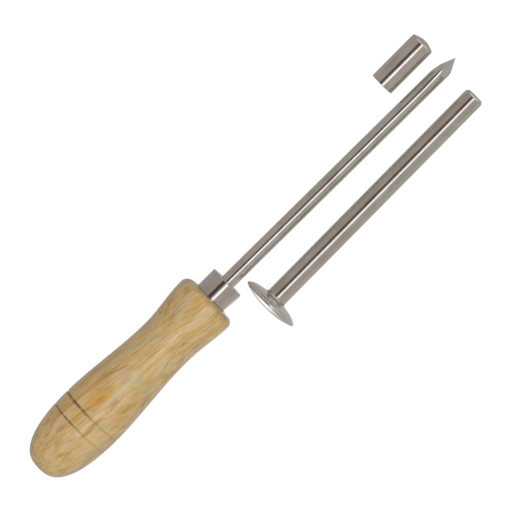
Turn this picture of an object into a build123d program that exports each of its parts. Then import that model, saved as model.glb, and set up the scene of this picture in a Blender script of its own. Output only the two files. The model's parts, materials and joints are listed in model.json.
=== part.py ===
from build123d import *
from math import asin
from math import atan
from math import atan2
from math import cos
from math import degrees
from math import hypot
from math import radians
from math import sin
from math import sqrt
import os

# A trocar, its cannula and its guard cap, lying side by side on a table.
# Millimetres. +Z is up, +X runs from the handle's butt towards the point, and the table is z = 0.
# The origin is on the table, under the middle of the set's bounding box.

# ---- rod and point ----
rod_diameter = 7.3
point_length = 13.2          # along the rod, from the tip to the middle of a facet's heel
point_bared = 10.2           # what stands out of the cannula once it is pushed home
point_sides = 3
point_roll = 13.5            # degrees that the uppermost edge of the point leans towards +Y
tang_diameter = 5.4
tang_length = 65.0
tang_chamfer = 0.8

# ---- resin that holds the tang ----
resin_gap = 0.35             # all round the tang
resin_end = 1.2              # past the tang's end

# ---- ferrule ----
ferrule_diameter = 17.3
ferrule_length = 10.5
ferrule_wall = 1.5
ferrule_face = 2.5           # thickness of the closed front
ferrule_edge = 0.35          # chamfer on the front rim
ferrule_back_edge = 0.2      # chamfer where it meets the wood

# ---- wooden handle, stations measured from the butt ----
handle_length = 112.0
butt_flat_radius = 2.5
butt_steepness = 9.0         # how far the outline climbs steeply from the butt's flat
belly_station = 33.5
belly_radius = 16.25
belly_fullness = 21.5        # how far the belly's level stretch reaches back to the butt
waist_station = 82.2
waist_radius = 13.2
shoulder_radius = 15.45
shoulder_corner = 4.0
front_face_radius = 8.9      # where the front face stops being conical, just outside the ferrule
front_face_rise = 0.4        # height of the conical front face
ring_stations = [26.7, 34.7]
ring_widths = [0.8, 1.2]
ring_depths = [0.25, 0.3]

# ---- cannula ----
slide_clearance = 0.1        # radial, rod in cannula and cannula in cap
tube_wall = 1.25
tube_length = 137.0
mouth_round = 2.2            # radius that rounds the mouth off from outside
mouth_flat = 0.05            # flat ring left round the bore
rear_bevel = 0.3             # lead-in at the rear end of the bore
rear_step = 0.4              # how much the tube is turned down inside the flange and the braze
flange_diameter = 29.0
flange_rear_height = 2.8     # from the seat plane to the rim's middle plane
flange_front_height = 3.5    # from the rim's middle plane to the hub
flange_seat_width = 0.8      # flat ring round the tube's rear end
flange_rear_bulge = 0.25     # how far the rear face swells past a straight cone
rim_round = 0.8
braze_width = 0.9            # out along the flange
braze_height = 0.9           # along the tube

# ---- guard cap ----
cap_wall = 0.9
cap_bore_depth = 26.0
cap_end_wall = 2.2           # in the middle of the closed end
cap_edge_round = 1.4
cap_end_rise = 1.0
cap_lip_bevel = 0.3

# ---- how the three pieces lie ----
flange_gap = 2.8             # between the flange's rim and the rod, seen from above
cannula_forward = 4.1        # the cannula's seat plane ahead of the ferrule's face
cannula_yaw = 0.9            # degrees that the cannula's mouth turns towards the rod
cap_gap = 5.4                # between the cap and the rod, seen from above
cap_set_back = 5.2           # the cap's closed end behind the trocar's tip
cap_yaw = 0.5

# ---- sizes that follow ----
rod_radius = rod_diameter / 2
tang_radius = tang_diameter / 2
tang_hole_radius = tang_radius + resin_gap
ferrule_radius = ferrule_diameter / 2
spigot_radius = ferrule_radius - ferrule_wall
spigot_length = ferrule_length - ferrule_face
spigot_end = handle_length + spigot_length
ferrule_front = handle_length + ferrule_length
rod_reach = tube_length + point_bared
trocar_length = ferrule_front + rod_reach
facet_angle = degrees(atan(rod_radius / point_length))
bore_radius = rod_radius + slide_clearance
tube_radius = bore_radius + tube_wall
mouth_radius = bore_radius + mouth_flat
mouth_centre = tube_radius - mouth_round
nose_length = sqrt(mouth_round**2 - (mouth_radius - mouth_centre) ** 2)
nose_start = tube_length - nose_length
rear_radius = tube_radius - rear_step
flange_hub = flange_rear_height + flange_front_height
braze_end = flange_hub + braze_height
flange_radius = flange_diameter / 2
cap_bore_radius = tube_radius + slide_clearance
cap_radius = cap_bore_radius + cap_wall
cap_length = cap_bore_depth + cap_end_wall


def turned(*outline):
    """Solid of revolution about the X axis. Its outline is closed, with x along and y as the radius."""
    edges = [edge for line in outline for edge in line.edges()]
    return revolve(make_face(edges), Axis.X, 360)


def ease(start, end):
    """Smooth S-shaped stretch that is level at both ends."""
    third = (end[0] - start[0]) / 3
    return Bezier(start, (start[0] + third, start[1]), (end[0] - third, end[1]), end)


def radius_at(curve, station):
    """Radius of a curve at a station along X."""
    upright = Line((station, 0), (station, 3 * belly_radius))
    return curve.intersect(upright).vertices()[0].Y


def lying(rear, front):
    """Place for a turned piece that rests on two rounded edges. Each edge is (station, radius of the
    rounding's centre, rounding). The piece's own X axis dips towards the front edge."""
    run = front[0] - rear[0]
    drop = rear[1] - front[1]
    dip = atan2(drop, run) + asin((rear[2] - front[2]) / hypot(run, drop))
    height = rear[0] * sin(dip) + rear[1] * cos(dip) + rear[2]
    return Pos(0, 0, height) * Rot(0, degrees(dip), 0)


def make_handle():
    corner_station = handle_length - front_face_rise - shoulder_corner
    corner_middle = shoulder_corner * sin(radians(45))
    dome = Bezier(
        (0, butt_flat_radius),
        (0, butt_flat_radius + butt_steepness),
        (belly_station - belly_fullness, belly_radius),
        (belly_station, belly_radius),
    )
    body = ease((belly_station, belly_radius), (waist_station, waist_radius))
    flare = ease((waist_station, waist_radius), (corner_station, shoulder_radius))
    corner_height = shoulder_radius - shoulder_corner
    corner = ThreePointArc(
        (corner_station, shoulder_radius),
        (corner_station + corner_middle, corner_height + corner_middle),
        (corner_station + shoulder_corner, corner_height),
    )
    rest = Polyline(
        (corner_station + shoulder_corner, corner_height),
        (handle_length, front_face_radius),
        (handle_length, spigot_radius),
        (spigot_end, spigot_radius),
        (spigot_end, tang_hole_radius),
        (spigot_end - tang_length - resin_end, tang_hole_radius),
        (spigot_end - tang_length - resin_end, 0),
        (0, 0),
        (0, butt_flat_radius),
    )
    handle = turned(dome, body, flare, corner, rest)
    for station, width, depth in zip(ring_stations, ring_widths, ring_depths):
        curve = dome if station < belly_station else body
        surface = radius_at(curve, station)
        handle -= turned(
            Polyline(
                (station - width, surface + depth),
                (station, surface - depth),
                (station + width, surface + depth),
                close=True,
            )
        )
    return handle


def make_ferrule():
    return turned(
        Polyline(
            (handle_length, spigot_radius),
            (handle_length, ferrule_radius - ferrule_back_edge),
            (handle_length + ferrule_back_edge, ferrule_radius),
            (ferrule_front - ferrule_edge, ferrule_radius),
            (ferrule_front, ferrule_radius - ferrule_edge),
            (ferrule_front, tang_radius),
            (spigot_end, tang_radius),
            (spigot_end, spigot_radius),
            close=True,
        )
    )


def make_rod():
    tang_start = spigot_end - tang_length
    rod = turned(
        Polyline(
            (tang_start, 0),
            (tang_start, tang_radius - tang_chamfer),
            (tang_start + tang_chamfer, tang_radius),
            (ferrule_front, tang_radius),
            (ferrule_front, rod_radius),
            (trocar_length, rod_radius),
            (trocar_length, 0),
            close=True,
        )
    )
    wheel = Box(4 * point_length, 4 * rod_radius, 4 * rod_radius, align=(Align.CENTER, Align.CENTER, Align.MIN))
    for side in range(point_sides):
        turn = 180 / point_sides - point_roll + side * 360 / point_sides
        rod -= Pos(trocar_length, 0, 0) * Rot(turn, 0, 0) * Rot(0, facet_angle, 0) * wheel
    return rod


def make_resin(rod):
    hole_start = spigot_end - tang_length - resin_end
    filling = turned(
        Polyline(
            (hole_start, 0),
            (hole_start, tang_hole_radius),
            (spigot_end, tang_hole_radius),
            (spigot_end, 0),
            close=True,
        )
    )
    return filling - rod


def make_tube():
    outside = Polyline(
        (0, bore_radius + rear_bevel),
        (0, rear_radius),
        (braze_end, rear_radius),
        (braze_end, tube_radius),
        (nose_start, tube_radius),
    )
    lip = TangentArc((nose_start, tube_radius), (tube_length, mouth_radius), tangent=(1, 0))
    inside = Polyline(
        (tube_length, mouth_radius),
        (tube_length, bore_radius),
        (rear_bevel, bore_radius),
        (0, bore_radius + rear_bevel),
    )
    return turned(outside, lip, inside)


def make_flange():
    rim_height = flange_radius - rim_round
    seat_radius = rear_radius + flange_seat_width
    rear_end = flange_rear_height - rim_round
    front_start = flange_rear_height + rim_round
    shoulder = (flange_radius - tube_radius) / 3
    seat = Line((0, rear_radius), (0, seat_radius))
    rear = ThreePointArc(
        (0, seat_radius),
        (rear_end / 2 - flange_rear_bulge, (seat_radius + rim_height) / 2 + flange_rear_bulge),
        (rear_end, rim_height),
    )
    rim = ThreePointArc((rear_end, rim_height), (flange_rear_height, flange_radius), (front_start, rim_height))
    front = Bezier(
        (front_start, rim_height),
        (front_start + flange_front_height / 2, rim_height - flange_front_height / 2),
        (flange_hub - rim_round, tube_radius + shoulder),
        (flange_hub, tube_radius),
    )
    bore = Polyline((flange_hub, tube_radius), (flange_hub, rear_radius), (0, rear_radius))
    return turned(seat, rear, rim, front, bore)


def make_braze(flange):
    slope = Bezier(
        (flange_hub - braze_height, tube_radius + braze_width),
        (flange_hub, tube_radius + braze_width / 4),
        (braze_end, tube_radius),
    )
    foot = Polyline(
        (braze_end, tube_radius),
        (braze_end, rear_radius),
        (flange_hub - braze_height, rear_radius),
        (flange_hub - braze_height, tube_radius + braze_width),
    )
    return turned(slope, foot) - flange


def make_cap():
    round_middle = cap_edge_round * sin(radians(45))
    round_height = cap_radius - cap_edge_round
    round_start = cap_length - cap_end_rise - cap_edge_round
    outside = Polyline(
        (0, cap_bore_radius + cap_lip_bevel),
        (0, cap_radius - cap_lip_bevel),
        (cap_lip_bevel, cap_radius),
        (round_start, cap_radius),
    )
    edge = ThreePointArc(
        (round_start, cap_radius),
        (round_start + round_middle, round_height + round_middle),
        (round_start + cap_edge_round, round_height),
    )
    end = Bezier((round_start + cap_edge_round, round_height), (cap_length, round_height / 2), (cap_length, 0))
    inside = Polyline(
        (cap_length, 0),
        (cap_bore_depth, 0),
        (cap_bore_depth, cap_bore_radius),
        (cap_lip_bevel, cap_bore_radius),
        (0, cap_bore_radius + cap_lip_bevel),
    )
    return turned(outside, edge, end, inside)


# ---- where each piece lies ----
# The trocar rests on the corner of its shoulder and on the rod just behind the lowest facet.
heel_station = trocar_length - point_length * cos(radians(point_roll))
shoulder_edge = (
    handle_length - front_face_rise - shoulder_corner,
    shoulder_radius - shoulder_corner,
    shoulder_corner,
)
trocar_place = lying(shoulder_edge, (heel_station, rod_radius, 0))

# The cannula rests on its flange's rim and on the rounded edge of its mouth.
rim_edge = (flange_rear_height, flange_radius - rim_round, rim_round)
mouth_edge = (nose_start, mouth_centre, mouth_round)
cannula_spot = Pos(ferrule_front + cannula_forward, -(rod_radius + flange_gap + flange_radius), 0)
cannula_place = cannula_spot * Rot(0, 0, cannula_yaw) * lying(rim_edge, mouth_edge)

# The cap lies flat on its side.
cap_spot = Pos(trocar_length - cap_set_back - cap_length, rod_radius + cap_gap + cap_radius, cap_radius)
cap_place = cap_spot * Rot(0, 0, cap_yaw)

handle = make_handle()
trocar_rod = make_rod()
cannula_flange = make_flange()
laid = {
    "handle": trocar_place * handle,
    "ferrule": trocar_place * make_ferrule(),
    "trocar_rod": trocar_place * trocar_rod,
    "tang_adhesive": trocar_place * make_resin(trocar_rod),
    "cannula_tube": cannula_place * make_tube(),
    "cannula_flange": cannula_place * cannula_flange,
    "braze_fillet": cannula_place * make_braze(cannula_flange),
    "guard_cap": cap_place * make_cap(),
}

box = Compound(list(laid.values())).bounding_box()
to_origin = Pos(-box.center().X, -box.center().Y, -box.min.Z)

os.makedirs("parts", exist_ok=True)
for name, piece in laid.items():
    export_step(to_origin * piece, f"parts/{name}.step")
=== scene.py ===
import bpy
import json
import math
from mathutils import Euler, Matrix, Vector


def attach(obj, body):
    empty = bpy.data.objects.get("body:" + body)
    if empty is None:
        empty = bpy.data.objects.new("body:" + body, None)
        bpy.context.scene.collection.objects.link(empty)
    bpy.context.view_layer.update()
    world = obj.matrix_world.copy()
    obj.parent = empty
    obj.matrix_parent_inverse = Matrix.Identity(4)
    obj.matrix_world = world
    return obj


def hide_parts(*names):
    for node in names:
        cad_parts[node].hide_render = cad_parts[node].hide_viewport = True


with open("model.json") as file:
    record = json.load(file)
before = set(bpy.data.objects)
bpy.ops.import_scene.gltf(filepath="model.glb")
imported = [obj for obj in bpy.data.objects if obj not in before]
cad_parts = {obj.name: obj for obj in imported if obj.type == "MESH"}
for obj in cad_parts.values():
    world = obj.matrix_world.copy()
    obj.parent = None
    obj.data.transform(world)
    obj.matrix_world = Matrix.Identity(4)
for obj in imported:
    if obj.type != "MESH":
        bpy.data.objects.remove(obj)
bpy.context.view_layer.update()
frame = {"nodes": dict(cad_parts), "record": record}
mounts = {m["name"]: m for m in frame["record"]["mounts"]}
mm = 0.001
poleRadius = 0.4   # mm, the small flat that closes the middle of a solid end


def hexColour(code):
    # sRGB hex to the linear values that sockets take
    parts = [int(code[i:i + 2], 16) / 255 for i in (1, 3, 5)]
    return tuple(p / 12.92 if p <= 0.04045 else ((p + 0.055) / 1.055) ** 2.4 for p in parts) + (1.0,)


def addNode(tree, kind, inputs=None, **settings):
    node = tree.nodes.new(kind)
    for key, value in settings.items():
        setattr(node, key, value)
    for key, value in (inputs or {}).items():
        if isinstance(value, bpy.types.NodeSocket):
            tree.links.new(value, node.inputs[key])
        else:
            node.inputs[key].default_value = value
    return node


def setRamp(node, stops):
    # stops is a list of (place from 0 to 1, hex colour)
    ramp = node.color_ramp
    while len(ramp.elements) > 1:
        ramp.elements.remove(ramp.elements[-1])
    ramp.elements[0].position = stops[0][0]
    ramp.elements[0].color = hexColour(stops[0][1])
    for place, code in stops[1:]:
        ramp.elements.new(place).color = hexColour(code)
    return node


def newMaterial(name):
    material = bpy.data.materials.new(name)
    material.use_nodes = True
    material.node_tree.nodes.clear()
    return material, material.node_tree


def wear(piece, material):
    piece.data.materials.clear()
    piece.data.materials.append(material)


class Axis:
    # where a turned piece starts, and which way its own X axis points
    def __init__(self, start, direction):
        self.start = Vector(start)
        self.along = Vector(direction).normalized()
        self.turn = Euler((0, math.asin(-self.along.z), math.atan2(self.along.y, self.along.x)))

    def moved(self, distance):
        return Axis(self.start + self.along * distance, self.along)


def curvePoints(a, b, c, d, count):
    # points of a cubic curve from a to d, pulled by b and c, without its first point
    points = []
    for i in range(1, count + 1):
        u = i / count
        v = 1 - u
        weights = (v * v * v, 3 * v * v * u, 3 * v * u * u, u * u * u)
        points.append(tuple(sum(w * p[k] for w, p in zip(weights, (a, b, c, d))) for k in (0, 1)))
    return points


def easePoints(a, d, count):
    # S-shaped stretch, level at both ends
    third = (d[0] - a[0]) / 3
    return curvePoints(a, (a[0] + third, a[1]), (d[0] - third, d[1]), d, count)


def arcPoints(centre, radius, start, stop, count):
    # arc about centre, angles in degrees from +X towards the rim, without its first point
    points = []
    for i in range(1, count + 1):
        angle = math.radians(start + (stop - start) * i / count)
        points.append((centre[0] + radius * math.cos(angle), centre[1] + radius * math.sin(angle)))
    return points


def turnPiece(name, stations, closedLoop=False, sides=128):
    # A disc is extruded along X from station to station and resized to each radius, as a lathe would cut it.
    # Stations are (x, radius) in millimetres, with how far the circle stands aside along Y as a third number
    # where it isn't on the axis. A closed loop ends where it starts, round an open bore.
    # A station set a little way in from an edge keeps the shading of the wall beside it even.
    bpy.ops.object.select_all(action="DESELECT")
    stations = [place if len(place) == 3 else place + (0.0,) for place in stations]
    firstX, firstRadius, firstAside = stations[0]
    bpy.ops.mesh.primitive_circle_add(
        vertices=sides,
        radius=firstRadius * mm,
        fill_type="NOTHING" if closedLoop else "NGON",
        location=(firstX * mm, 0, 0),
        rotation=(0, math.pi / 2, 0),
    )
    piece = bpy.context.object
    piece.name = name
    bpy.ops.object.transform_apply(location=True, rotation=True, scale=True)
    bpy.ops.object.mode_set(mode="EDIT")
    bpy.ops.mesh.select_all(action="SELECT")
    lastX, lastRadius, lastAside = firstX, firstRadius, firstAside
    for x, radius, aside in stations[1:]:
        step = ((x - lastX) * mm, (aside - lastAside) * mm, 0)
        bpy.ops.mesh.extrude_region_move(TRANSFORM_OT_translate={"value": step})
        scale = radius / lastRadius
        bpy.ops.transform.resize(value=(1, scale, scale), center_override=(x * mm, aside * mm, 0))
        lastX, lastRadius, lastAside = x, radius, aside
    bpy.ops.mesh.select_all(action="SELECT")
    if closedLoop:
        bpy.ops.mesh.remove_doubles(threshold=0.000001)
    bpy.ops.mesh.normals_make_consistent(inside=False)
    bpy.ops.object.mode_set(mode="OBJECT")
    bpy.ops.object.shade_smooth_by_angle(angle=math.radians(32))
    return piece


def layOn(piece, axis, roll=0.0):
    # turns the finished mesh onto its axis and leaves the object itself at the origin
    bpy.ops.object.select_all(action="DESELECT")
    piece.select_set(True)
    bpy.context.view_layer.objects.active = piece
    piece.rotation_euler = (math.radians(roll), axis.turn.y, axis.turn.z)
    piece.location = axis.start
    bpy.ops.object.transform_apply(location=True, rotation=True, scale=True)


def ownPlace(tree, axis, stretch=(1, 1, 1), tilt=0.0, shift=0.0):
    # Place on a piece in millimetres along and across its own axis, then the same place divided by stretch,
    # turned by tilt in degrees and moved by shift, for a pattern to read.
    coords = addNode(tree, "ShaderNodeTexCoord")
    local = addNode(
        tree, "ShaderNodeMapping",
        {
            "Vector": coords.outputs["Object"],
            "Location": axis.start,
            "Rotation": axis.turn,
            "Scale": (mm, mm, mm),
        },
        vector_type="TEXTURE",
    )
    stretched = addNode(
        tree, "ShaderNodeMapping",
        {
            "Vector": local.outputs[0],
            "Location": (-shift * stretch[0], -shift * stretch[1], 0),
            "Rotation": (0, 0, math.radians(tilt)),
            "Scale": stretch,
        },
        vector_type="TEXTURE",
    )
    return local, stretched


print("stage 1: frame loaded", {name: len(node.data.polygons) for name, node in frame["nodes"].items()})


ferruleSizes = {
    "length": 10.5,
    "diameter": 17.3,
    "hole": 5.4,        # for the rod's tang
    "edge": 0.3,        # rounding of the front edge
    "backEdge": 0.18,   # and of the edge against the wood
    "wall": 1.5,
    "face": 2.5,        # thickness of the front wall
    "polish": 0.06,     # roughness of its plating
}
rodMount = mounts["rod"]
rodAlong = Vector(rodMount["axis"])
rodHalf = rodMount["dims"]["length_mm"] * mm / 2
# the rod's mount starts on the ferrule's face, and everything on the trocar is set out from there
faceAxis = Axis(Vector(rodMount["pos_m"]) - rodAlong * rodHalf, rodAlong)
ferruleAxis = faceAxis.moved(-ferruleSizes["length"] * mm)


plating = {
    "bloom": (9, 5, 5),           # mm along, across and deep, for one duller place
    "lines": (0.22, 6.0, 6.0),    # and for one buffing line
    "lineDepth": 0.02,
    "clearest": 0.7,              # share of a piece's own roughness where it is cleanest
    "dullest": 1.5,
    "grey": "#D0CBC3",
    "pale": "#DAD6D0",
}


def nickelPlate(name, axis, polish, tone):
    # Bright nickel over turned metal, buffed by hand. It mirrors the room with a faint haze, the buffing
    # leaves fine lines round the piece, and handling leaves a slightly warmer, duller bloom in places.
    material, tree = newMaterial(name)
    bloomAt = ownPlace(tree, axis, plating["bloom"])[1]
    bloom = addNode(tree, "ShaderNodeTexNoise", {
        "Vector": bloomAt.outputs[0], "Scale": 1.0, "Detail": 4.0, "Roughness": 0.6,
    })
    colour = setRamp(
        addNode(tree, "ShaderNodeValToRGB", {"Fac": bloom.outputs[0]}),
        [(0.32, "#C8C0B6"), (0.55, tone), (0.75, "#D8D4CE")],
    )
    # the real lines are a few hundredths of a millimetre apart, drawn coarser so that they show
    linesAt = ownPlace(tree, axis, plating["lines"])[1]
    lines = addNode(tree, "ShaderNodeTexNoise", {
        "Vector": linesAt.outputs[0], "Scale": 1.0, "Detail": 3.0, "Roughness": 0.7,
    })
    haze = addNode(tree, "ShaderNodeMath", {0: bloom.outputs[0], 1: lines.outputs[0]}, operation="MULTIPLY")
    rough = addNode(tree, "ShaderNodeMapRange", {
        "Value": haze.outputs[0],
        "From Min": 0.1,
        "From Max": 0.45,
        "To Min": polish * plating["clearest"],
        "To Max": polish * plating["dullest"],
    })
    bump = addNode(tree, "ShaderNodeBump", {
        "Height": lines.outputs[0], "Strength": 0.02, "Distance": plating["lineDepth"] * mm,
    })
    shader = addNode(tree, "ShaderNodeBsdfPrincipled", {
        "Base Color": colour.outputs[0],
        "Metallic": 1.0,
        "Roughness": rough.outputs[0],
        "Normal": bump.outputs[0],
    })
    addNode(tree, "ShaderNodeOutputMaterial", {"Surface": shader.outputs[0]})
    return material


def makeFerrule():
    s = ferruleSizes
    front = s["length"]
    outer = s["diameter"] / 2
    hole = s["hole"] / 2
    start = (0.0, outer - s["wall"])
    outline = [start, (0.0, outer - s["backEdge"])]
    outline += arcPoints((s["backEdge"], outer - s["backEdge"]), s["backEdge"], 180, 90, 4)
    outline += [(1.0, outer), (front - s["edge"] - 0.6, outer), (front - s["edge"], outer)]
    outline += arcPoints((front - s["edge"], outer - s["edge"]), s["edge"], 90, 0, 5)
    outline += [(front, outer - s["edge"] - 0.5), (front, hole + 1.5), (front, hole)]
    outline += [(front - s["face"], hole), (front - s["face"], outer - s["wall"]), start]
    ferrule = turnPiece("platedFerrule", outline, closedLoop=True)
    layOn(ferrule, ferruleAxis)
    wear(ferrule, nickelPlate("platedFerruleBrass", ferruleAxis, s["polish"], plating["grey"]))
    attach(ferrule, "trocar")
    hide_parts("ferrule")


makeFerrule()
print("stage 2: ferrule turned")


handleSizes = {
    "length": 112.0,
    "buttFlat": 2.5,
    "buttSteepness": 9.0,
    "belly": (33.5, 16.25),
    "bellyFullness": 21.5,
    "waist": (82.2, 13.2),
    "shoulder": 15.45,
    "corner": 4.0,
    "faceRise": 0.4,
    "faceRadius": 8.9,
    "spigot": (7.15, 8.0),     # radius and length of the tenon inside the ferrule
    "tangHole": (3.05, 66.2),  # radius and depth from the tenon's end
    "rings": ((26.7, 0.40, 0.25), (34.7, 0.60, 0.30)),  # station, half width, depth
    "ringFloor": ((-1.0, 0.25), (-0.4, 0.85), (0.0, 1.0), (0.4, 0.85), (1.0, 0.25)),  # shares of both
    "ringAside": 0.08,         # the tool cut deeper on the +Y side
    "ringLip": 0.12,           # rounding of a ring's edges
}
handleAxis = ferruleAxis.moved(-handleSizes["length"] * mm)

# each pattern in the wood: size of its lumps along, across and deep in mm, degrees off the handle's axis,
# shift, detail and roughness of the noise
woodPatterns = {
    "patches": ((11, 4.4, 4.4), -7, 0, 2.5, 0.55),
    "grey": ((9, 4.6, 4.6), -6, 23, 2.0, 0.5),
    "gold": ((28, 2.8, 3.4), -6, 17, 2.0, 0.5),
    "fibres": ((20, 0.95, 1.1), -6, 7, 2.0, 0.5),
    "streaks": ((60, 3.6, 4.0), -9, 31, 1.0, 0.4),
    "streakArea": ((8, 3.0, 3.0), -6, 53, 1.0, 0.5),
    "pores": ((4.0, 0.30, 0.34), -5, 71, 2.0, 0.5),
    "uneven": ((2.4, 2.4, 2.4), 0, 11, 2.0, 0.6),
}
# tints laid one over the other: pattern, where it starts and is full, how strong it is, its colour
woodTints = (
    ("patches", 0.53, 0.68, 0.55, "#C09C80"),   # pinkish
    ("grey", 0.52, 0.66, 0.58, "#AA9F78"),      # greenish grey
    ("gold", 0.50, 0.66, 0.62, "#BD9044"),      # ochre
)
# stains just past the second ring: middle and half size along, across and deep in mm, strength, colour
woodStains = (
    ((43.8, 3.2, 15.8), (9.5, 4.6, 5.0), 0.62, "#BE9240"),   # ochre
    ((44.0, 2.4, 15.8), (4.6, 2.2, 4.0), 0.5, "#B0722C"),    # its orange heart
)
woodMarks = {
    "ground": ((0.28, "#AA8E58"), (0.42, "#B99B64"), (0.52, "#C0A36E"), (0.62, "#C4A878")),
    "fibres": ((0.32, "#CDBDA4"), (0.46, "#F1EADF"), (0.62, "#FFFFFF")),
    "fibreStrength": 0.42,
    "streakLine": ((0.462, "#000000"), (0.494, "#FFFFFF"), (0.503, "#FFFFFF"), (0.535, "#000000")),
    "streakStrength": (0.10, 0.72),   # in the quiet and in the busy stretches
    "streakColour": "#9C6A2C",
    "stainTurn": -0.2,                # radians
    "poreStrength": 0.34,
    "poreColour": "#74532C",
    "ringFade": (-5.0, 7.0),          # mm across the handle, from the faint side to the burnt one
    "ringStrength": (0.25, 0.88),
    "ringColour": "#5E390E",
}


def lacqueredHardwood(axis):
    # Pale hardwood, turned and lacquered: a tan ground mottled with pinkish, ochre and greenish-grey patches,
    # rusty streaks a few degrees off the handle's axis, fine dark pores, and two rings burnt in on the lathe
    # that fade on one side.
    material, tree = newMaterial("lacqueredHardwood")
    local = ownPlace(tree, axis)[0]
    place = addNode(tree, "ShaderNodeSeparateXYZ", {"Vector": local.outputs[0]})
    noise = {}
    for name, (size, tilt, shift, detail, roughness) in woodPatterns.items():
        at = ownPlace(tree, axis, size, tilt, shift)[1]
        noise[name] = addNode(tree, "ShaderNodeTexNoise", {
            "Vector": at.outputs[0], "Scale": 1.0, "Detail": detail, "Roughness": roughness,
        }).outputs[0]

    ground = setRamp(addNode(tree, "ShaderNodeValToRGB", {"Fac": noise["patches"]}), woodMarks["ground"])
    colour = ground.outputs[0]
    for name, start, full, strength, code in woodTints:
        amount = addNode(
            tree, "ShaderNodeMapRange",
            {"Value": noise[name], "From Min": start, "From Max": full, "To Max": strength},
            interpolation_type="SMOOTHSTEP",
        )
        tint = {"Factor": amount.outputs[0], "A": colour, "B": hexColour(code)}
        colour = addNode(tree, "ShaderNodeMix", tint, data_type="RGBA").outputs["Result"]

    fibreTone = setRamp(addNode(tree, "ShaderNodeValToRGB", {"Fac": noise["fibres"]}), woodMarks["fibres"])
    tint = {"Factor": woodMarks["fibreStrength"], "A": colour, "B": fibreTone.outputs[0]}
    colour = addNode(tree, "ShaderNodeMix", tint, data_type="RGBA", blend_type="MULTIPLY").outputs["Result"]

    # rusty streaks: thin lines where the noise crosses its middle, kept in some stretches of the wood only
    line = setRamp(addNode(tree, "ShaderNodeValToRGB", {"Fac": noise["streaks"]}), woodMarks["streakLine"])
    area = addNode(
        tree, "ShaderNodeMapRange",
        {
            "Value": noise["streakArea"],
            "From Min": 0.42,
            "From Max": 0.60,
            "To Min": woodMarks["streakStrength"][0],
            "To Max": woodMarks["streakStrength"][1],
        },
        interpolation_type="SMOOTHSTEP",
    )
    streak = addNode(tree, "ShaderNodeMath", {0: line.outputs[0], 1: area.outputs[0]}, operation="MULTIPLY")
    tint = {"Factor": streak.outputs[0], "A": colour, "B": hexColour(woodMarks["streakColour"])}
    colour = addNode(tree, "ShaderNodeMix", tint, data_type="RGBA").outputs["Result"]

    for centre, size, strength, code in woodStains:
        stainAt = addNode(
            tree, "ShaderNodeMapping",
            {
                "Vector": local.outputs[0],
                "Location": centre,
                "Rotation": (0, 0, woodMarks["stainTurn"]),
                "Scale": size,
            },
            vector_type="TEXTURE",
        )
        ball = addNode(
            tree, "ShaderNodeTexGradient", {"Vector": stainAt.outputs[0]}, gradient_type="SPHERICAL",
        )
        stain = addNode(
            tree, "ShaderNodeMapRange",
            {"Value": ball.outputs["Fac"], "From Min": 0.05, "From Max": 0.6, "To Max": strength},
            interpolation_type="SMOOTHSTEP",
        )
        tint = {"Factor": stain.outputs[0], "A": colour, "B": hexColour(code)}
        colour = addNode(tree, "ShaderNodeMix", tint, data_type="RGBA").outputs["Result"]

    # pores: short dark dashes, drawn coarser than in the wood so that they show
    pores = addNode(
        tree, "ShaderNodeMapRange",
        {"Value": noise["pores"], "From Min": 0.60, "From Max": 0.72, "To Max": woodMarks["poreStrength"]},
        interpolation_type="SMOOTHSTEP",
    )
    tint = {"Factor": pores.outputs[0], "A": colour, "B": hexColour(woodMarks["poreColour"])}
    colour = addNode(tree, "ShaderNodeMix", tint, data_type="RGBA").outputs["Result"]

    # the burnt rings: dark in the groove, fading towards -Y and broken up by the grain
    fade = addNode(
        tree, "ShaderNodeMapRange",
        {
            "Value": place.outputs["Y"],
            "From Min": woodMarks["ringFade"][0],
            "From Max": woodMarks["ringFade"][1],
            "To Min": woodMarks["ringStrength"][0],
            "To Max": woodMarks["ringStrength"][1],
        },
        interpolation_type="SMOOTHSTEP",
    )
    broken = addNode(
        tree, "ShaderNodeMapRange",
        {"Value": noise["uneven"], "From Min": 0.36, "From Max": 0.56, "To Min": 0.45},
        interpolation_type="SMOOTHSTEP",
    )
    scorch = addNode(tree, "ShaderNodeMath", {0: fade.outputs[0], 1: broken.outputs[0]}, operation="MULTIPLY")
    for station, halfWidth, _ in handleSizes["rings"]:
        off = addNode(tree, "ShaderNodeMath", {0: place.outputs["X"], 1: station}, operation="SUBTRACT")
        away = addNode(tree, "ShaderNodeMath", {0: off.outputs[0]}, operation="ABSOLUTE")
        ring = addNode(
            tree, "ShaderNodeMapRange",
            {
                "Value": away.outputs[0],
                "From Min": halfWidth * 0.5,
                "From Max": halfWidth * 1.5,
                "To Min": 1.0,
                "To Max": 0.0,
            },
            interpolation_type="SMOOTHSTEP",
        )
        burn = addNode(
            tree, "ShaderNodeMath", {0: ring.outputs[0], 1: scorch.outputs[0]}, operation="MULTIPLY",
        )
        tint = {"Factor": burn.outputs[0], "A": colour, "B": hexColour(woodMarks["ringColour"])}
        colour = addNode(tree, "ShaderNodeMix", tint, data_type="RGBA").outputs["Result"]

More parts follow.
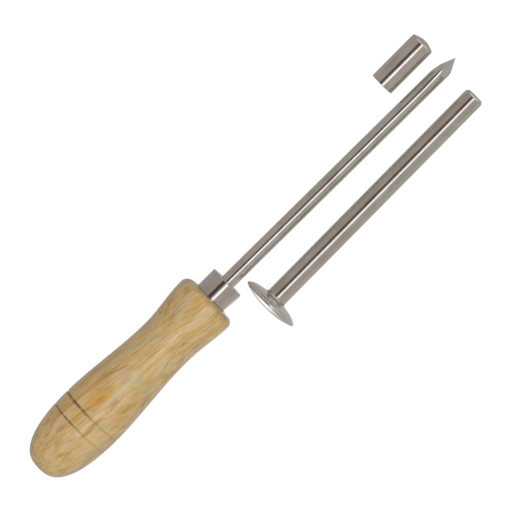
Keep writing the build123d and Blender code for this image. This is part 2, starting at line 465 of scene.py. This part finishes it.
    # the grain shows through the lacquer as a slight relief
    relief = addNode(tree, "ShaderNodeMath", {0: noise["fibres"], 1: pores.outputs[0]}, operation="SUBTRACT")
    bump = addNode(tree, "ShaderNodeBump", {
        "Height": relief.outputs[0], "Strength": 0.25, "Distance": 0.06 * mm,
    })
    gloss = addNode(tree, "ShaderNodeMapRange", {
        "Value": noise["fibres"], "From Min": 0.3, "From Max": 0.7, "To Min": 0.42, "To Max": 0.58,
    })
    shader = addNode(tree, "ShaderNodeBsdfPrincipled", {
        "Base Color": colour,
        "Roughness": gloss.outputs[0],
        "IOR": 1.5,
        "Specular IOR Level": 0.3,
        "Coat Weight": 1.0,
        "Coat Roughness": 0.09,
        "Coat IOR": 1.55,
        "Normal": bump.outputs[0],
    })
    addNode(tree, "ShaderNodeOutputMaterial", {"Surface": shader.outputs[0]})
    return material


def makeHandle():
    s = handleSizes
    cornerStation = s["length"] - s["faceRise"] - s["corner"]
    outline = [(0.0, s["buttFlat"] * 0.4), (0.0, s["buttFlat"])]
    outline += curvePoints(
        (0.0, s["buttFlat"]),
        (0.0, s["buttFlat"] + s["buttSteepness"]),
        (s["belly"][0] - s["bellyFullness"], s["belly"][1]),
        s["belly"],
        40,
    )
    outline += easePoints(s["belly"], s["waist"], 40)
    outline += easePoints(s["waist"], (cornerStation, s["shoulder"]), 28)
    outline += arcPoints((cornerStation, s["shoulder"] - s["corner"]), s["corner"], 90, 0, 12)
    outline += [(s["length"] - 0.1, s["faceRadius"] + 0.6), (s["length"], s["faceRadius"] - 0.1)]
    spigotEnd = s["length"] + s["spigot"][1]
    holeEnd = spigotEnd - s["tangHole"][1]
    inside = [
        (s["length"], s["spigot"][0]),
        (spigotEnd, s["spigot"][0]),
        (spigotEnd, s["tangHole"][0]),
        (holeEnd, s["tangHole"][0]),
        (holeEnd, poleRadius),
    ]

    # each scored ring replaces the outline's points near it with lips, flanks and a rounded floor
    cut = []
    for station, halfWidth, depth in s["rings"]:
        reach = halfWidth + s["ringLip"]
        floor = [(station + halfWidth * across, depth * down) for across, down in s["ringFloor"]]
        cut += [(station - reach, 0.0)] + floor + [(station + reach, 0.0)]
    clear = s["ringLip"] * 2
    margins = [(station - half - clear, station + half + clear) for station, half, _ in s["rings"]]

    def surface(x):
        for (x0, r0), (x1, r1) in zip(outline, outline[1:]):
            if x0 <= x <= x1 and x1 > x0:
                return r0 + (r1 - r0) * (x - x0) / (x1 - x0)
        return outline[-1][1]

    kept = [p for p in outline if not any(low < p[0] < high for low, high in margins)]
    butt = [p for p in kept if p[0] <= 1.0]
    grip = [p for p in kept if 1.0 < p[0] < cornerStation]
    grooves = [(x, surface(x) - d, -s["ringAside"] if d > 0 else 0.0) for x, d in cut]
    front = [p for p in kept if p[0] >= cornerStation]
    stations = butt + sorted(grip + grooves) + front + inside
    handle = turnPiece("woodenHandle", stations)
    layOn(handle, handleAxis)
    wear(handle, lacqueredHardwood(handleAxis))
    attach(handle, "trocar")
    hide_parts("handle")


makeHandle()
print("stage 3: handle turned")


rodSizes = {
    "diameter": 7.3,
    "reach": 147.2,
    "pointLength": 13.2,
    "pointSides": 3,
    "pointRoll": 13.5,
    "edgeLand": 0.06,     # width of the honed land along each edge of the point
    "edgeAngle": 20,      # degrees, past which an edge is honed and stays sharp
    "tang": 5.4,
    "tangLength": 65.0,
    "tangChamfer": 0.8,
    "tangSink": 2.5,      # how far the tenon's end lies behind the ferrule's face
    "polish": 0.15,
}


def makeRod():
    s = rodSizes
    radius = s["diameter"] / 2
    tip = s["reach"]
    tang = s["tang"] / 2
    tangStart = -s["tangSink"] - s["tangLength"]
    rod = turnPiece("trocarRod", [
        (tangStart, poleRadius),
        (tangStart, tang - s["tangChamfer"]),
        (tangStart + s["tangChamfer"], tang),
        (0.0, tang),
        (0.0, radius),
        (4.0, radius),
        (tip - 20, radius),
        (tip, radius),
    ])
    # three passes of the grinding wheel, evenly round the rod
    bpy.ops.object.mode_set(mode="EDIT")
    slope = math.atan(radius / s["pointLength"])
    lift = math.cos(slope)
    for side in range(s["pointSides"]):
        around = math.radians(180 / s["pointSides"] - s["pointRoll"] + side * 360 / s["pointSides"])
        normal = (math.sin(slope), -lift * math.sin(around), lift * math.cos(around))
        bpy.ops.mesh.select_all(action="SELECT")
        bpy.ops.mesh.bisect(plane_co=(tip * mm, 0, 0), plane_no=normal, use_fill=True, clear_outer=True)
    bpy.ops.mesh.select_all(action="SELECT")
    bpy.ops.mesh.remove_doubles(threshold=0.000002)
    bpy.ops.mesh.normals_make_consistent(inside=False)
    bpy.ops.object.mode_set(mode="OBJECT")
    land = rod.modifiers.new("honedEdges", "BEVEL")
    land.width = s["edgeLand"] * mm
    land.segments = 2
    land.limit_method = "ANGLE"
    land.angle_limit = math.radians(s["edgeAngle"])
    bpy.ops.object.modifier_apply(modifier=land.name)
    bpy.ops.object.shade_smooth_by_angle(angle=math.radians(s["edgeAngle"]))
    layOn(rod, faceAxis)
    wear(rod, nickelPlate("platedRodSteel", faceAxis, s["polish"], plating["pale"]))
    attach(rod, "trocar")
    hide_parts("trocar_rod")


makeRod()
print("stage 4: rod turned and ground")


cannulaSizes = {
    "length": 137.0,
    "outside": 10.0,
    "bore": 7.5,
    "step": 0.4,            # how much the seat of flange and solder is turned down
    "mouthRound": 2.2,      # radius that rounds the mouth off from outside
    "mouthFlat": 0.05,      # flat ring left round the bore
    "rearBevel": 0.3,
    "polish": 0.15,
}
boreMount = mounts["cannula_bore"]
boreMiddle = Axis(boreMount["pos_m"], -Vector(boreMount["axis"]))
cannulaAxis = boreMiddle.moved(-cannulaSizes["length"] * mm / 2)


def makeTube():
    s = cannulaSizes
    outer = s["outside"] / 2
    bore = s["bore"] / 2
    end = s["length"]
    mouth = bore + s["mouthFlat"]
    mouthCentre = outer - s["mouthRound"]
    noseStart = end - math.sqrt(s["mouthRound"] ** 2 - (mouth - mouthCentre) ** 2)
    mouthAngle = math.degrees(math.asin((mouth - mouthCentre) / s["mouthRound"]))
    start = (0.0, bore + s["rearBevel"])
    seatEnd = flangeSizes["rearHeight"] + flangeSizes["frontHeight"] + brazeSizes["height"]
    seat = outer - s["step"]
    outline = [start, (0.0, seat), (seatEnd, seat), (seatEnd, outer), (10.0, outer)]
    outline += [(noseStart - 2.0, outer), (noseStart, outer)]
    outline += arcPoints((noseStart, mouthCentre), s["mouthRound"], 90, mouthAngle, 14)
    outline += [(end, bore), (end - 3.0, bore), (s["rearBevel"] + 2.0, bore), (s["rearBevel"], bore)]
    outline += [start]
    tube = turnPiece("cannulaTube", outline, closedLoop=True)
    layOn(tube, cannulaAxis)
    wear(tube, nickelPlate("platedTubeBrass", cannulaAxis, s["polish"], plating["grey"]))
    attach(tube, "cannula")
    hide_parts("cannula_tube")


flangeSizes = {
    "diameter": 29.0,
    "rearHeight": 2.8,
    "frontHeight": 3.5,
    "seatWidth": 0.8,
    "rearBulge": 0.25,
    "rimRound": 0.8,
    "bore": 9.2,
    "polish": 0.16,
}


def makeFlange():
    s = flangeSizes
    tube = cannulaSizes["outside"] / 2
    hole = s["bore"] / 2
    rimHeight = s["diameter"] / 2 - s["rimRound"]
    hub = s["rearHeight"] + s["frontHeight"]
    seat = hole + s["seatWidth"]
    rearEnd = s["rearHeight"] - s["rimRound"]
    frontStart = s["rearHeight"] + s["rimRound"]
    shoulder = (s["diameter"] / 2 - tube) / 3
    # the curve whose middle is the middle of the straight cone, moved out by the swell
    swell = s["rearBulge"] * 4 / 3
    start = (0.0, hole)
    outline = [start, (0.0, seat)]
    outline += curvePoints(
        (0.0, seat),
        (rearEnd * 0.3 - swell, seat + (rimHeight - seat) * 0.3 + swell),
        (rearEnd * 0.7 - swell, seat + (rimHeight - seat) * 0.7 + swell),
        (rearEnd, rimHeight),
        24,
    )
    outline += arcPoints((s["rearHeight"], rimHeight), s["rimRound"], 180, 0, 12)
    outline += curvePoints(
        (frontStart, rimHeight),
        (frontStart + s["frontHeight"] / 2, rimHeight - s["frontHeight"] / 2),
        (hub - s["rimRound"], tube + shoulder),
        (hub, tube),
        28,
    )
    outline += [(hub, hole), start]
    flange = turnPiece("cannulaFlange", outline, closedLoop=True, sides=160)
    layOn(flange, cannulaAxis)
    wear(flange, nickelPlate("platedFlangeBrass", cannulaAxis, s["polish"], plating["pale"]))
    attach(flange, "cannula")
    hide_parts("cannula_flange")


brazeSizes = {"width": 0.9, "height": 0.9}


def silverSolder(axis):
    # Silver solder run round a joint and left as it froze: satin, slightly yellower, softly rippled.
    material, tree = newMaterial("silverSolder")
    at = ownPlace(tree, axis, (0.8, 0.9, 0.9))[1]
    ripple = addNode(tree, "ShaderNodeTexNoise", {"Vector": at.outputs[0], "Scale": 1.0, "Detail": 3.0})
    colour = setRamp(
        addNode(tree, "ShaderNodeValToRGB", {"Fac": ripple.outputs[0]}),
        [(0.3, "#A79F8F"), (0.6, "#BFB8AA"), (0.8, "#CBC6BB")],
    )
    rough = addNode(tree, "ShaderNodeMapRange", {
        "Value": ripple.outputs[0], "To Min": 0.16, "To Max": 0.34,
    })
    bump = addNode(tree, "ShaderNodeBump", {
        "Height": ripple.outputs[0], "Strength": 0.25, "Distance": 0.08 * mm,
    })
    shader = addNode(tree, "ShaderNodeBsdfPrincipled", {
        "Base Color": colour.outputs[0],
        "Metallic": 1.0,
        "Roughness": rough.outputs[0],
        "Normal": bump.outputs[0],
    })
    addNode(tree, "ShaderNodeOutputMaterial", {"Surface": shader.outputs[0]})
    return material


def makeBraze():
    tube = cannulaSizes["outside"] / 2
    hub = flangeSizes["rearHeight"] + flangeSizes["frontHeight"]
    width, height = brazeSizes["width"], brazeSizes["height"]
    inner = flangeSizes["bore"] / 2
    foot = (hub - 0.2 * height, tube + 0.52 * width)
    start = (hub - 0.2 * height, inner)
    outline = [start, foot]
    outline += curvePoints(
        foot,
        (hub + 0.08 * height, tube + 0.36 * width),
        (hub + 0.45 * height, tube + 0.12 * width),
        (hub + height, tube),
        8,
    )
    outline += [(hub + height, inner), start]
    braze = turnPiece("brazeFillet", outline, closedLoop=True)
    layOn(braze, cannulaAxis)
    wear(braze, silverSolder(cannulaAxis))
    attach(braze, "cannula")
    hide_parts("braze_fillet")


makeTube()
makeFlange()
makeBraze()
print("stage 5: cannula turned and brazed")


capSizes = {
    "length": 28.2,
    "diameter": 12.0,
    "bore": 10.2,
    "boreDepth": 26.0,
    "edgeRound": 1.4,
    "endRise": 1.0,
    "lip": 0.3,
    "boreCorner": 1.0,
    "polish": 0.14,
}
capMount = mounts["cap_bore"]
capAxis = Axis(capMount["pos_m"], -Vector(capMount["axis"])).moved(
    -(capSizes["boreDepth"] + capSizes["lip"]) / 2 * mm
)


def makeCap():
    s = capSizes
    outer = s["diameter"] / 2
    bore = s["bore"] / 2
    end = s["length"]
    roundHeight = outer - s["edgeRound"]
    roundStart = end - s["endRise"] - s["edgeRound"]
    floor = s["boreDepth"] - s["boreCorner"]
    outline = [(end, poleRadius)]
    outline += curvePoints(
        (end, poleRadius),
        (end, roundHeight / 2),
        (end - s["endRise"] * 0.6, roundHeight * 0.8),
        (roundStart + s["edgeRound"], roundHeight),
        8,
    )
    outline += arcPoints((roundStart, roundHeight), s["edgeRound"], 0, 90, 12)
    outline += [(roundStart - 2.0, outer), (2.0, outer), (s["lip"], outer)]
    outline += arcPoints((s["lip"], outer - s["lip"]), s["lip"], 90, 180, 5)
    outline += [(0.0, bore + s["lip"]), (s["lip"], bore), (3.0, bore), (floor, bore)]
    outline += arcPoints((floor, bore - s["boreCorner"]), s["boreCorner"], 90, 0, 6)
    outline += [(s["boreDepth"], poleRadius)]
    cap = turnPiece("guardCap", outline)
    layOn(cap, capAxis)
    wear(cap, nickelPlate("platedCapBrass", capAxis, s["polish"], plating["pale"]))
    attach(cap, "cap")
    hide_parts("guard_cap")


makeCap()
print("stage 6: guard cap turned")


def amberResin(axis):
    # Cured epoxy round the tang, cloudy amber with fine filler, seen only when the handle is taken apart.
    material, tree = newMaterial("curedResin")
    at = ownPlace(tree, axis, (1.4, 1.4, 1.4))[1]
    filler = addNode(tree, "ShaderNodeTexNoise", {"Vector": at.outputs[0], "Scale": 1.0, "Detail": 5.0})
    colour = setRamp(
        addNode(tree, "ShaderNodeValToRGB", {"Fac": filler.outputs[0]}),
        [(0.3, "#7A5A2C"), (0.7, "#9A7840")],
    )
    shader = addNode(tree, "ShaderNodeBsdfPrincipled", {
        "Base Color": colour.outputs[0], "Roughness": 0.45, "IOR": 1.55,
    })
    addNode(tree, "ShaderNodeOutputMaterial", {"Surface": shader.outputs[0]})
    return material


wear(frame["nodes"]["tang_adhesive"], amberResin(handleAxis))
print("stage 7: resin finished")


paper = {
    "size": 3.0,
    "glow": 0.9,                     # what the camera sees
    "shade": "#6E6E6E",              # how much it shows of light and shadow
    "bounce": 0.7,                   # what the wood gets back from it
    "paintedReflection": (0.42, 0.54),        # how bright the plate sees it on its +Y and -Y sides: painted shade, dimmer than the camera sees it and darkest on +Y as the painted shadow of the handle
    "paintedReflectionTone": "#FCFAF8",
    "shadowEdgeReach": 0.02,               # m either side of the middle in which one turns into the other, the soft edge of the painted shadow
    # a painted pool of light on the paper behind the cannula's flange, seen only in the plating
    "lightPoolCentre": (-0.036, -0.006, 0),
    "lightPoolSize": (0.024, 0.028, 1),
    "lightPoolGlow": 1.9,
}


def makeFloor():
    # White seamless paper. The camera sees it burnt out; the pieces see it as a dimmer glow of painted shade,
    # with a painted shadow of the handle on its +Y side and a painted pool of light behind the cannula's
    # flange.
    bpy.ops.object.select_all(action="DESELECT")
    bpy.ops.mesh.primitive_plane_add(size=paper["size"], location=(0, 0, -0.0002))
    floor = bpy.context.object
    floor.name = "floor"
    material, tree = newMaterial("seamlessPaper")
    path = addNode(tree, "ShaderNodeLightPath")
    seen = addNode(tree, "ShaderNodeEmission", {"Color": hexColour("#FFFFFF"), "Strength": paper["glow"]})
    lit = addNode(tree, "ShaderNodeBsdfDiffuse", {"Color": hexColour(paper["shade"])})
    bright = addNode(tree, "ShaderNodeAddShader", {0: seen.outputs[0], 1: lit.outputs[0]})
    coords = addNode(tree, "ShaderNodeTexCoord")
    place = addNode(tree, "ShaderNodeSeparateXYZ", {"Vector": coords.outputs["Object"]})
    # painted shade: the paper as the plating sees it, darker on +Y as a painted shadow of the handle
    sides = addNode(
        tree, "ShaderNodeMapRange",
        {
            "Value": place.outputs["Y"],
            "From Min": paper["shadowEdgeReach"],
            "From Max": -paper["shadowEdgeReach"],
            "To Min": paper["paintedReflection"][0],
            "To Max": paper["paintedReflection"][1],
        },
        interpolation_type="SMOOTHSTEP",
    )
    # the painted pool of light, strongest at its middle
    pool = addNode(
        tree, "ShaderNodeMapping",
        {
            "Vector": coords.outputs["Object"],
            "Location": paper["lightPoolCentre"],
            "Scale": paper["lightPoolSize"],
        },
        vector_type="TEXTURE",
    )
    ball = addNode(
        tree, "ShaderNodeTexGradient", {"Vector": pool.outputs[0]}, gradient_type="SPHERICAL",
    )
    poolLight = addNode(
        tree, "ShaderNodeMapRange", {"Value": ball.outputs["Fac"], "To Max": paper["lightPoolGlow"]},
        interpolation_type="SMOOTHSTEP",
    )
    glow = addNode(tree, "ShaderNodeMath", {0: sides.outputs[0], 1: poolLight.outputs[0]}, operation="ADD")
    # what glossy rays see: the painted shade with the painted pool of light on it
    paintedReflection = addNode(tree, "ShaderNodeEmission", {
        "Color": hexColour(paper["paintedReflectionTone"]), "Strength": glow.outputs[0],
    })
    bounce = addNode(tree, "ShaderNodeEmission", {
        "Color": hexColour("#FFFFFF"), "Strength": paper["bounce"],
    })
    unseen = addNode(tree, "ShaderNodeMixShader", {
        0: path.outputs["Is Glossy Ray"], 1: bounce.outputs[0], 2: paintedReflection.outputs[0],
    })
    mix = addNode(tree, "ShaderNodeMixShader", {
        0: path.outputs["Is Camera Ray"], 1: unseen.outputs[0], 2: bright.outputs[0],
    })
    addNode(tree, "ShaderNodeOutputMaterial", {"Surface": mix.outputs[0]})
    wear(floor, material)


# What the plating mirrors. Walls are (degrees from straight up, colour), turning about the X axis towards -Y.
# Each band is where it begins and is full, where it starts to end and is gone, and its light.
mirroredRoom = {
    "walls": (
        (-180, "#B4B0AE"), (-100, "#A8A29C"), (-60, "#B3AAA2"), (-28, "#B4ABA5"), (0, "#A09A98"),
        (35, "#BEB8B2"), (70, "#BAB6B0"), (100, "#BCBBB8"), (180, "#BCBBBA"),
    ),
    "bands": (
        ((-32, -20), (-8, -2), hexColour("#544B51")),         # dark gap of the open ceiling
        ((-3, 4), (12, 30), (0.95, 0.93, 1.0, 1.0)),          # long soft lamp
        ((6, 9), (14, 18), (2.0, 1.95, 2.05, 1.0)),           # and its bright core
    ),
    "bandEnds": (0.35, 0.6),      # how far lengthways the bands reach, as a share of the way round
    "windowRise": (0.42, 0.6),    # the pale window beyond the points, in the same shares
    "windowFall": (0.82, 0.97),
    "windowSill": (0.05, 0.2),
    "windowShare": 0.85,
    "windowLight": (1.0, 0.98, 0.99, 1.0),
    "tentTone": "#F4F5F8",        # the even light that the matt wood and the table get
    "tentStrength": 0.62,
}
softKey = {"power": 14.2, "size": 1.4, "place": (0.05, -0.35, 1.25)}


def band(tree, angle, rise, fall):
    # 1 between the end of the rise and the start of the fall, in degrees round the set
    up = addNode(
        tree, "ShaderNodeMapRange",
        {"Value": angle, "From Min": math.radians(rise[0]), "From Max": math.radians(rise[1])},
        interpolation_type="SMOOTHSTEP",
    )
    down = addNode(
        tree, "ShaderNodeMapRange",
        {
            "Value": angle,
            "From Min": math.radians(fall[0]),
            "From Max": math.radians(fall[1]),
            "To Min": 1,
            "To Max": 0,
        },
        interpolation_type="SMOOTHSTEP",
    )
    return addNode(tree, "ShaderNodeMath", {0: up.outputs[0], 1: down.outputs[0]}, operation="MULTIPLY")


def makeRoom():
    # A grey room with one long soft light just off overhead, and the dark gap of the open ceiling beside it.
    s = mirroredRoom
    world = bpy.data.worlds.new("studioRoom")
    bpy.context.scene.world = world
    world.use_nodes = True
    tree = world.node_tree
    tree.nodes.clear()
    coords = addNode(tree, "ShaderNodeTexCoord")
    way = addNode(tree, "ShaderNodeSeparateXYZ", {"Vector": coords.outputs["Generated"]})
    across = addNode(tree, "ShaderNodeMath", {0: way.outputs["Y"], 1: -1.0}, operation="MULTIPLY")
    angle = addNode(
        tree, "ShaderNodeMath", {0: across.outputs[0], 1: way.outputs["Z"]}, operation="ARCTAN2",
    )
    turn = addNode(tree, "ShaderNodeMapRange", {
        "Value": angle.outputs[0], "From Min": -math.pi, "From Max": math.pi,
    })
    walls = setRamp(
        addNode(tree, "ShaderNodeValToRGB", {"Fac": turn.outputs[0]}),
        [(0.5 + degrees / 360, code) for degrees, code in s["walls"]],
    )
    colour = walls.outputs[0]

    lengthways = addNode(tree, "ShaderNodeMath", {0: way.outputs["X"]}, operation="ABSOLUTE")
    ends = addNode(tree, "ShaderNodeMapRange", {
        "Value": lengthways.outputs[0],
        "From Min": s["bandEnds"][0],
        "From Max": s["bandEnds"][1],
        "To Min": 1,
        "To Max": 0,
    })
    for rise, fall, light in s["bands"]:
        along = band(tree, angle.outputs[0], rise, fall)
        mask = addNode(
            tree, "ShaderNodeMath", {0: along.outputs[0], 1: ends.outputs[0]}, operation="MULTIPLY",
        )
        lit = {"Factor": mask.outputs[0], "A": colour, "B": light}
        colour = addNode(tree, "ShaderNodeMix", lit, data_type="RGBA").outputs["Result"]

    # a pale window low beyond the points, which edges that face it pick up as a thin light line
    far = addNode(
        tree, "ShaderNodeMapRange",
        {"Value": way.outputs["X"], "From Min": s["windowRise"][0], "From Max": s["windowRise"][1]},
        interpolation_type="SMOOTHSTEP",
    )
    near = addNode(
        tree, "ShaderNodeMapRange",
        {
            "Value": way.outputs["X"],
            "From Min": s["windowFall"][0],
            "From Max": s["windowFall"][1],
            "To Min": s["windowShare"],
            "To Max": 0.0,
        },
        interpolation_type="SMOOTHSTEP",
    )
    window = addNode(tree, "ShaderNodeMath", {0: far.outputs[0], 1: near.outputs[0]}, operation="MULTIPLY")
    above = addNode(tree, "ShaderNodeMapRange", {
        "Value": way.outputs["Z"], "From Min": s["windowSill"][0], "From Max": s["windowSill"][1],
    })
    pane = addNode(tree, "ShaderNodeMath", {0: window.outputs[0], 1: above.outputs[0]}, operation="MULTIPLY")
    lit = {"Factor": pane.outputs[0], "A": colour, "B": s["windowLight"]}
    colour = addNode(tree, "ShaderNodeMix", lit, data_type="RGBA").outputs["Result"]

    room = addNode(tree, "ShaderNodeBackground", {"Color": colour, "Strength": 1.0})
    tent = addNode(tree, "ShaderNodeBackground", {
        "Color": hexColour(s["tentTone"]), "Strength": s["tentStrength"],
    })
    plain = addNode(tree, "ShaderNodeBackground", {"Color": hexColour("#FFFFFF"), "Strength": 1.0})
    path = addNode(tree, "ShaderNodeLightPath")
    unseen = addNode(tree, "ShaderNodeMixShader", {
        0: path.outputs["Is Glossy Ray"], 1: tent.outputs[0], 2: room.outputs[0],
    })
    mix = addNode(tree, "ShaderNodeMixShader", {
        0: path.outputs["Is Camera Ray"], 1: unseen.outputs[0], 2: plain.outputs[0],
    })
    addNode(tree, "ShaderNodeOutputWorld", {"Surface": mix.outputs[0]})

    bpy.ops.object.light_add(type="AREA", location=softKey["place"])
    key = bpy.context.object
    key.name = "softKey"
    key.data.size = softKey["size"]
    key.data.energy = softKey["power"]
    key.visible_glossy = False


cameraPlace = {
    "distance": 1.5,          # m from the camera to the middle of the set
    "fieldWidth": 0.2357,     # m across the view at that distance
    "sensor": 36,             # mm
    "lean": 7.0,              # degrees that the camera leans towards the points
    "roll": 44.55,            # degrees from level at which the trocar rises in the view
    "target": (0.0055, 0.0068, 0.012),
}


def makeCamera():
    s = cameraPlace
    lean = math.radians(s["lean"])
    away = Vector((math.sin(lean), 0, math.cos(lean)))
    bpy.ops.object.camera_add(location=Vector(s["target"]) + away * s["distance"])
    camera = bpy.context.object
    camera.name = "camera"
    camera.data.sensor_width = s["sensor"]
    camera.data.lens = s["sensor"] * s["distance"] / s["fieldWidth"]
    camera.data.clip_start = 0.05
    # the view's right-hand side is the trocar's direction turned back by the roll
    level = Vector((math.cos(lean), 0, -math.sin(lean)))
    side = Vector((0, 1, 0))
    roll = math.radians(s["roll"])
    right = level * math.cos(roll) - side * math.sin(roll)
    up = away.cross(right)
    camera.rotation_euler = Matrix((right, up, away)).transposed().to_euler()
    bpy.context.scene.camera = camera


makeFloor()
makeRoom()
makeCamera()
bpy.context.scene.view_settings.view_transform = "Standard"
print("stage 8: studio ready")
